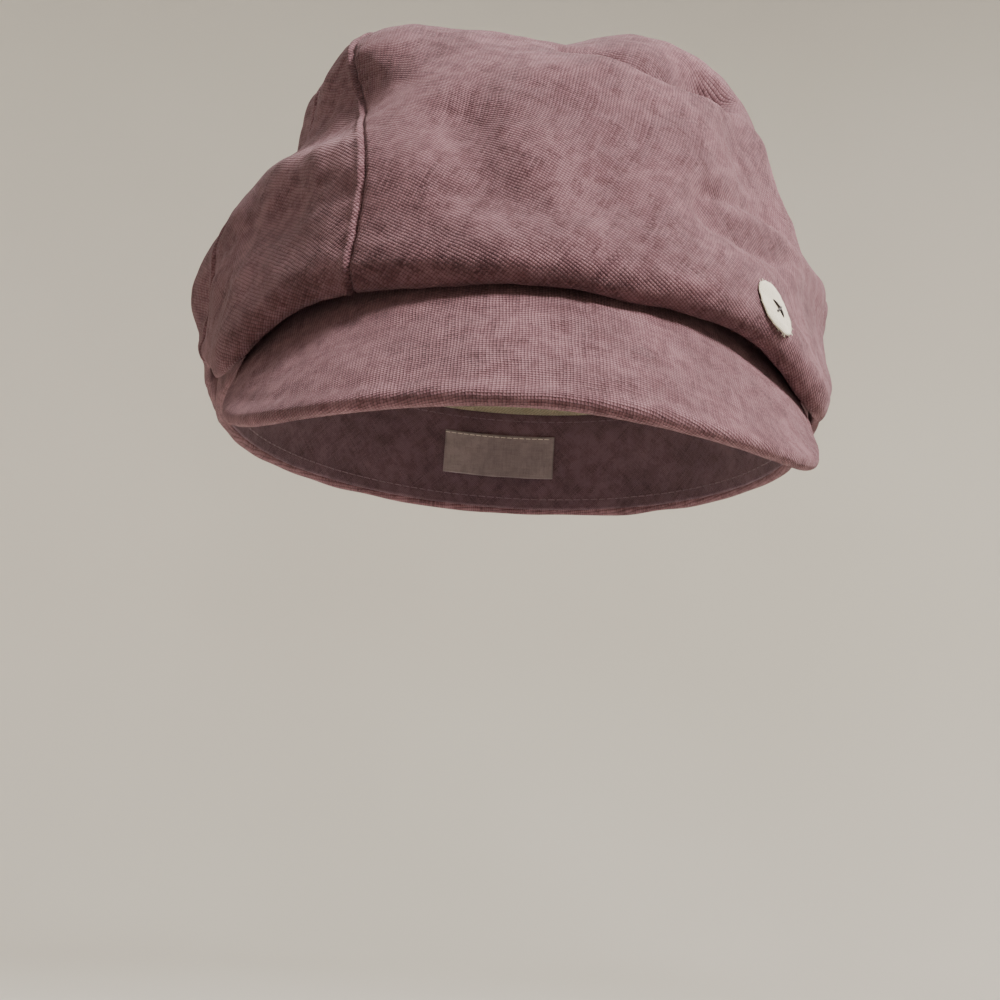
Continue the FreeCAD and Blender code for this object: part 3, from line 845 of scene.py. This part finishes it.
def hem_profile(outer, top, radius, back_rise):
    """Outside from the top down, round the hem, and a little way up the inside."""
    rows = [(outer, z, 1 - smooth(z, 10, top)) for z in np.linspace(top, 3.0, 22)]
    for turn in np.linspace(0, 180, 11):
        angle = math.radians(turn)
        rows.append((outer - radius + radius * math.cos(angle), 1.2 - 1.5 * math.sin(angle), 1.0))
    rows += [(outer - 2 * radius, z, 1.0) for z in np.linspace(1.6, back_rise, 3)]
    return rows


def build_bands():
    profile = hem_profile(0.0, BAND_TOP - 1.5, 1.15, 2.2)
    band_strip("band_cloth_front", -90, 90, profile, MAUVE, 0.12, 31, ["band_front"])
    band_strip("band_cloth_back", 90, 270, profile, MAUVE, 0.30, 32, ["band_back"])


def build_sweatband():
    inset = BAND_HALF_WIDTH - SWEATBAND_HALF_WIDTH
    rows = []
    for z in np.linspace(0.9, 36.6, 40):
        cling = 0.25 * math.sin(z * 0.30)
        rows.append((-inset + 0.2 + cling * 0.3, z, 1 - smooth(z, 10, 34)))
    columns = 340
    azimuth = np.linspace(0, 360, columns, endpoint=False)
    points = band_rows(azimuth, rows)
    inward = np.stack([-np.sin(np.radians(azimuth)), np.cos(np.radians(azimuth)), 0 * azimuth], -1)
    points += inward[None] * (0.14 * waves(points, 21, 16, 35) + 0.1)[..., None]
    normals = ring_normals(points, 20, inward)
    piece = cloth_shell("sweatband_cloth", points, 0.7, SWEATBAND, "cap",
                        cloth_uv(points, 45.0), wrap=True, normals=normals)
    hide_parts("sweatband")
    for tag, row in (("low", 4), ("high", 36)):
        path = points[row] + normals[row] * 0.12
        lines = stitches(path, normals[row], 2.3, 0.9, 0.22)
        thread_run("sweatband_stitches_" + tag, lines, 0.17, MAUVE_THREAD, "cap")


# ---- visor ----
def visor_frame(share):
    """Root points, outward, along and normal directions of the visor; share -1 to 1."""
    azimuth = VISOR_HALF_ANGLE * share
    a = np.radians(azimuth)
    out = np.stack([np.sin(a) / BAND_HALF_WIDTH, -np.cos(a) / BAND_HALF_LENGTH, 0 * a], -1)
    out /= np.linalg.norm(out, axis=-1, keepdims=True)
    slope = np.radians(visor_slope(azimuth))[:, None]
    band = np.stack([BAND_HALF_WIDTH * np.sin(a), -BAND_HALF_LENGTH * np.cos(a), 0 * a], -1)
    root = band + out * (VISOR_GAP + VISOR_THICK * np.sin(slope))
    root[:, 2] = rim_height(band[:, 1])
    up = np.array([0.0, 0.0, 1.0])
    along = out * np.cos(slope) - up * np.sin(slope)
    normal = out * np.sin(slope) + up * np.cos(slope)
    return root, out, along, normal


def visor_reach(share):
    swell = np.sqrt(np.clip(1 - np.abs(share) ** VISOR_FULLNESS, 0, 1))
    reach = VISOR_END_REACH + (VISOR_REACH - VISOR_END_REACH) * swell
    return reach * np.clip(1 - np.abs(share) ** 60, 0, 1) ** 0.5


def even_shares(count):
    """Shares spaced evenly along the visor's outline, so that its round ends are smooth."""
    share = 1 - np.concatenate([[0], np.geomspace(1e-5, 1, 1500)])
    share = np.unique(np.concatenate([-share, share]))
    root, _, along, _ = visor_frame(share)
    edge = root + along * visor_reach(share)[:, None]
    run = run_along(edge)
    return np.interp(np.linspace(0, run[-1], count), run, share)


def build_visor():
    columns = 300
    share = even_shares(columns)
    root, out, along, normal = visor_frame(share)
    reach = visor_reach(share)[:, None]
    edge = root + along * reach
    tangent = np.gradient(edge, axis=0)
    tangent /= np.linalg.norm(tangent, axis=1, keepdims=True)
    beyond = np.cross(tangent, normal)
    beyond /= np.linalg.norm(beyond, axis=1, keepdims=True)
    if beyond[columns // 2] @ along[columns // 2] < 0:
        beyond = -beyond
    half = VISOR_THICK / 2
    brink = edge - beyond * half * 0.9
    up = np.array([0.0, 0.0, 1.0])

    rows = []
    for rise in np.linspace(9.5, 1.0, 9):
        rows.append(root + up * rise - out * 0.10 * rise)
    for part in np.linspace(0.0, 1.0, 56):
        rows.append(root + (brink - root) * part)
    for turn in np.linspace(18, 180, 14):
        angle = math.radians(turn)
        swing = 0.9 * half * math.sin(angle) + 0.3 * math.sin(angle) ** 2
        rows.append(brink + beyond * swing - normal * half * (1 - math.cos(angle)))
    rows.append(brink - beyond * 1.6 - normal * VISOR_THICK)
    rows.append(brink - beyond * 3.4 - normal * VISOR_THICK)
    points = np.array(rows)
    shell_normals = surface_normals(points, False)
    shell_normals = facing(shell_normals, shell_normals[20, columns // 2], normal[columns // 2])
    face = np.ones(len(points))
    face[:6] = 0.0
    face[-6:] = 0.3
    ripple = 0.22 * waves(points, 26, 18, 41) + 0.10 * waves(points, 9, 22, 42)
    rounding = np.exp(-(((np.linalg.norm(points - brink[None], axis=-1)) / 2.4) ** 2))
    dip = 0.16 * np.exp(-(((np.linalg.norm(points - brink[None], axis=-1) - 4.6) / 1.5) ** 2))
    move = (ripple + 0.2 * rounding - dip) * face[:, None]
    points = points + shell_normals * move[..., None]
    run = run_along(root)
    turn = (run - run[columns // 2]) / VISOR_GRAIN_RADIUS
    down = VISOR_GRAIN_RADIUS + run_along(points)
    flat = np.stack([down * np.sin(turn), down * np.cos(turn)], -1) * MM
    top = cloth_shell("visor_top_cloth", points, 0.8, MAUVE, "visor", flat,
                      normals=shell_normals)
    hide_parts("visor_top_cover")

    under_rows = []
    rim = brink - beyond * 2.4
    low = -normal * (VISOR_THICK + 0.05)
    for part in np.linspace(0.0, 1.0, 52):
        sag = 0.35 * math.sin(math.pi * part)
        under_rows.append(root + (rim - root) * part + low - normal * sag)
    under = np.array(under_rows)
    under_normals = surface_normals(under, False)
    under_normals = facing(under_normals, under_normals[20, columns // 2], -normal[columns // 2])
    under = under + under_normals * (0.16 * waves(under, 18, 18, 43) - 0.1)[..., None]
    cream = cloth_shell("visor_under_cloth", under[::-1], 0.6, CREAM, "visor",
                        cloth_uv(under[::-1], 0.0), normals=under_normals[::-1])
    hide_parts("visor_under_cover")
    keep_out = slice(12, columns - 12)
    path = under[47][keep_out]
    lines = stitches(path, under_normals[47][keep_out], 2.6, 0.9, 0.25)
    thread_run("visor_stitches", lines, 0.17, CREAM_THREAD, "visor")


# ---- top button ----
def build_button():
    low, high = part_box("top_button_cover")
    middle = (np.array(low) + np.array(high)) / 2 / MM
    radius = (high[0] - low[0]) / 2 / MM
    base = low[2] / MM
    tall = (high[2] - low[2]) / MM
    columns = 120
    theta = np.linspace(0, 2 * math.pi, columns, endpoint=False)
    rows = []
    shape = ((0.55, -0.2), (0.80, -0.25), (0.94, 0.15), (1.0, 1.2), (0.985, 2.1), (0.93, 3.1),
             (0.84, 3.9), (0.70, 4.5), (0.52, 4.9), (0.32, 5.1), (0.12, 5.2), (0.01, 5.2))
    for share, rise in shape:
        gather = 0.28 * np.sin(theta * 17 + 1.4 * np.sin(theta * 3)) * np.exp(-((rise - 0.8) / 1.5) ** 2)
        reach = radius * share + gather
        rows.append(np.stack([middle[0] + reach * np.cos(theta), middle[1] + reach * np.sin(theta),
                              base + rise * tall / 5.2 + 0 * theta], -1))
    points = spline(np.array(rows), 44)
    normals = ring_normals(points, 30, np.array([0.0, 0.0, 1.0]))
    points = points + normals * (0.07 * waves(points, 5, 18, 51))[..., None]
    flat = (points[..., :2] - middle[:2]) * MM
    cover = cloth_shell("button_cloth", points, 0.5, MAUVE, "cap", flat,
                        wrap=True, normals=normals)
    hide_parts("top_button_cover")


# ---- tag and labels ----
def crown_at(field, row, theta):
    """Values of a (rows, grid, 3) field of the crown at any rows and angles."""
    row = np.clip(row, 0, CROWN_ROWS - 1.001)
    place = theta + 180.0
    r, c = row.astype(int), place.astype(int)
    u, v = (row - r)[..., None], (place - c)[..., None]
    low = field[r, c] * (1 - v) + field[r, c + 1] * v
    high = field[r + 1, c] * (1 - v) + field[r + 1, c + 1] * v
    return low * (1 - u) + high * u


def build_tag():
    """A thin round canvas tag that lies on the curved cloth, with one crossed stitch."""
    low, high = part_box("round_tag")
    goal = (np.array(low) + np.array(high)) / 2 / MM
    theta_middle = math.degrees(math.atan2(goal[0] - CROWN_MIDDLE[0], -(goal[1] - CROWN_MIDDLE[1])))
    column = int(round(theta_middle + 180))
    lowest = int(np.argmin(SCULPTED[:, column, 2])) + 2
    row_middle = lowest + int(np.argmin(np.abs(SCULPTED[lowest:120, column, 2] - goal[2])))
    per_degree = np.linalg.norm(SCULPTED[row_middle, column + 3] - SCULPTED[row_middle, column - 3]) / 6
    per_row = np.linalg.norm(SCULPTED[row_middle + 4, column] - SCULPTED[row_middle - 4, column]) / 8

    def on_tag(u, v, lift):
        u, v = np.asarray(u, float), np.asarray(v, float)
        row = row_middle + v / per_row
        theta = theta_middle + u / per_degree
        return crown_at(SCULPTED, row, theta) + crown_at(SCULPT_NORMALS, row, theta) * lift

    turn = np.linspace(0, 2 * math.pi, 96, endpoint=False)
    rows = []
    flat = []
    for share in np.linspace(0.01, 1.0, 15):
        edge = TAG_RADIUS * share * (1 + 0.018 * np.sin(turn * 5 + 1) + 0.012 * np.sin(turn * 13))
        u, v = edge * np.cos(turn), edge * np.sin(turn)
        rows.append(on_tag(u, v, 0.62 + 0.12 * share ** 6 * math.sin(share * 3)))
        flat.append(np.stack([u, v], -1))
    points = np.array(rows)
    normal = crown_at(SCULPT_NORMALS, np.array([float(row_middle)]), np.array([theta_middle]))[0]
    disc = cloth_shell("tag_disc", points, 0.3, TAG_CANVAS, "cap",
                       np.array(flat) * MM, wrap=True, normals=np.broadcast_to(normal, points.shape))
    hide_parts("round_tag")

    lines = []
    for (u0, v0), (u1, v1) in (((-0.6, 1.7), (2.6, -1.3)), ((-0.2, -1.6), (2.3, 1.5))):
        share = np.array([0.0, 0.1, 0.5, 0.9, 1.0])
        lift = np.array([0.45, 0.80, 0.95, 0.80, 0.45])
        line = [on_tag(u0 + (u1 - u0) * part, v0 + (v1 - v0) * part, height)
                for part, height in zip(share, lift)]
        lines.append(line)
    sewn = thread_run("tag_cross_stitch", lines, 0.3, THREAD, "cap")
    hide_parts("tag_stitches")
    fray = []
    for _ in range(46):
        start = RNG.uniform(0, 2 * math.pi)
        length = RNG.uniform(0.4, 1.2)
        lean = start + RNG.uniform(-0.8, 0.8)
        line = []
        for part in (0.0, 0.5, 1.0):
            u = TAG_RADIUS * 0.97 * math.cos(start) + part * length * math.cos(lean)
            v = TAG_RADIUS * 0.97 * math.sin(start) + part * length * math.sin(lean)
            line.append(on_tag(u, v, 0.45 + 0.15 * part))
        fray.append(line)
    thread_run("tag_frayed_edge", fray, 0.055, CREAM_THREAD, "cap")


def build_label(name, node, lean):
    """A woven satin label sewn by its top edge to the inside of the sweatband, left blank."""
    low, high = np.array(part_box(node)) / MM
    size = high - low
    flat_axis = int(np.argmin(size[:2]))
    wide_axis = 1 - flat_axis
    middle = (low + high) / 2
    side = 1.0 if middle[flat_axis] > 0 else -1.0
    columns = 60
    u = np.linspace(-0.5, 0.5, columns) * size[wide_axis]
    rows = []
    for v in np.linspace(0.0, 1.0, 36):
        hang = (1 - v) ** 2 * lean + 0.18 * np.sin(u * 0.35) * (1 - v)
        point = np.zeros((columns, 3))
        half = (BAND_HALF_LENGTH - 3.9, BAND_HALF_WIDTH - 3.9)[wide_axis]
        other = (BAND_HALF_WIDTH - 3.9, BAND_HALF_LENGTH - 3.9)[wide_axis]
        depth = half * np.sqrt(1 - (u / other) ** 2)
        point[:, wide_axis] = middle[wide_axis] + u
        point[:, flat_axis] = side * (depth - 0.55 - hang)
        point[:, 2] = low[2] + v * size[2]
        rows.append(point)
    points = np.array(rows)
    inward = np.zeros(3)
    inward[flat_axis] = -side
    normals = np.broadcast_to(inward, points.shape)
    piece = cloth_shell(name, points, 0.3, LABEL_SATIN, "cap",
                        cloth_uv(points, 0.0), normals=normals)
    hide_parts(node)
    lines = stitches(points[33], normals[33], 1.6, 0.7, 0.14)
    thread_run(name + "_stitches", lines, 0.11, CREAM_THREAD, "cap")


# ---- the CAD parts that stay: hidden inside, but finished all the same ----
def finish_kept_nodes():
    kept = {"band_stiffener": BUCKRAM, "back_elastic": ELASTIC, "visor_board": BOARD,
            "top_button_shell": STEEL, "top_button_shank": STEEL}
    for name, material in kept.items():
        obj = bpy.data.objects[name]
        for place in obj.material_slots:
            place.material = material


# ---- studio ----
def build_floor():
    """A round pale floor that curves up into a wall all the way round."""
    material, tree, shader = new_material("pale_floor")
    place = tree.nodes.new("ShaderNodeTexCoord").outputs["Object"]
    tone = stretch(tree, noise(tree, place, 1.3, 2.0), 0.3, 0.7)
    color = mix_colors(tree, tone, (0.74, 0.70, 0.63), (0.78, 0.74, 0.67))
    tree.links.new(color, shader.inputs["Base Color"])
    shader.inputs["Roughness"].default_value = 0.9
    level, reach, bend, wall_top = -0.30, 2.4, 0.6, 2.6
    profile = [(0.05, level), (reach - bend, level)]
    for turn in range(10, 91, 10):
        angle = math.radians(turn)
        profile.append((reach - bend + bend * math.sin(angle), level + bend * (1 - math.cos(angle))))
    profile.append((reach, wall_top))
    columns = 96
    points = []
    for radius, z in profile:
        for turn in np.linspace(0, 2 * math.pi, columns, endpoint=False):
            points.append((radius * math.cos(turn), radius * math.sin(turn), z))
    faces = grid_faces(len(profile), columns, wrap=True)
    faces.append(tuple(range(columns)))
    mesh = bpy.data.meshes.new("studio_floor")
    mesh.from_pydata(points, [], faces)
    mesh.materials.append(material)
    mesh.shade_smooth()
    add_object("studio_floor", mesh)


def add_light(name, place, aim, size, power, color, spread=180.0):
    data = bpy.data.lights.new(name, "AREA")
    data.shape = "DISK"
    data.size = size
    data.energy = power
    data.color = color
    data.spread = math.radians(spread)
    obj = add_object(name, data)
    obj.location = place
    toward = Vector(aim) - Vector(place)
    obj.rotation_euler = toward.to_track_quat("-Z", "Y").to_euler()


def build_lights():
    add_light("key", (0.80, -0.55, 1.10), (0.02, 0.0, 0.05), 0.40, 4.5, (1.0, 0.96, 0.92), 46.0)
    add_light("back", (-0.3, 1.0, 1.9), (0.0, 0.0, 0.03), 0.9, 2.6, (1.0, 0.98, 0.95), 70.0)
    add_light("ceiling", (0.3, -0.2, 3.0), (0.0, 0.0, 0.0), 3.0, 17.0, (1.0, 0.98, 0.95), 150.0)
    add_light("wall_right", (1.6, 0.1, 1.6), (0.9, 1.2, 0.1), 0.8, 20.0, (1.0, 0.96, 0.90), 120.0)
    add_light("wall_left", (-1.5, 0.3, 1.8), (-0.5, 1.2, 0.1), 0.8, 9.0, (1.0, 0.96, 0.90), 120.0)
    world = bpy.data.worlds.new("studio_world")
    world.use_nodes = True
    tree = world.node_tree
    toward = tree.nodes.new("ShaderNodeVectorMath")
    toward.operation = "DOT_PRODUCT"
    toward.inputs[1].default_value = (0.62, -0.10, 0.78)
    tree.links.new(tree.nodes.new("ShaderNodeTexCoord").outputs["Generated"], toward.inputs[0])
    strength = stretch(tree, toward.outputs["Value"], -0.6, 1.0, 0.10, 0.38)
    background = tree.nodes["Background"]
    background.inputs["Color"].default_value = (0.88, 0.87, 0.85, 1.0)
    tree.links.new(strength, background.inputs["Strength"])
    bpy.context.scene.world = world


def build_camera():
    """Below the rim and a little left, looking up at the cap as if it were on a head."""
    turn, pitch, roll = (math.radians(angle) for angle in (2.0, 13.0, 3.8))
    ahead = Vector((math.cos(pitch) * math.sin(turn), math.cos(pitch) * math.cos(turn), math.sin(pitch)))
    right = Vector((math.cos(turn), -math.sin(turn), 0.0))
    up = right.cross(ahead)
    side = right * math.cos(roll) + up * math.sin(roll)
    top = up * math.cos(roll) - right * math.sin(roll)
    middle = (Vector(cad_low) + Vector(cad_high)) / 2
    aim = middle + Vector((-0.002, 0.0, -0.068))
    place = aim - ahead * 0.442
    data = bpy.data.cameras.new("camera")
    data.lens = 54.0
    data.sensor_width = 36.0
    data.clip_start = 0.01
    camera = add_object("camera", data)
    turned = Matrix((side, top, -ahead)).transposed().to_4x4()
    camera.matrix_world = Matrix.Translation(place) @ turned
    bpy.context.scene.camera = camera


build_camera()
build_floor()
build_lights()
build_crown()
build_lining()
build_bands()
build_sweatband()
build_visor()
build_button()
build_tag()
build_label("maker_label_blank", "inner_label", 0.6)
build_label("care_label_blank", "care_label", 0.4)
finish_kept_nodes()
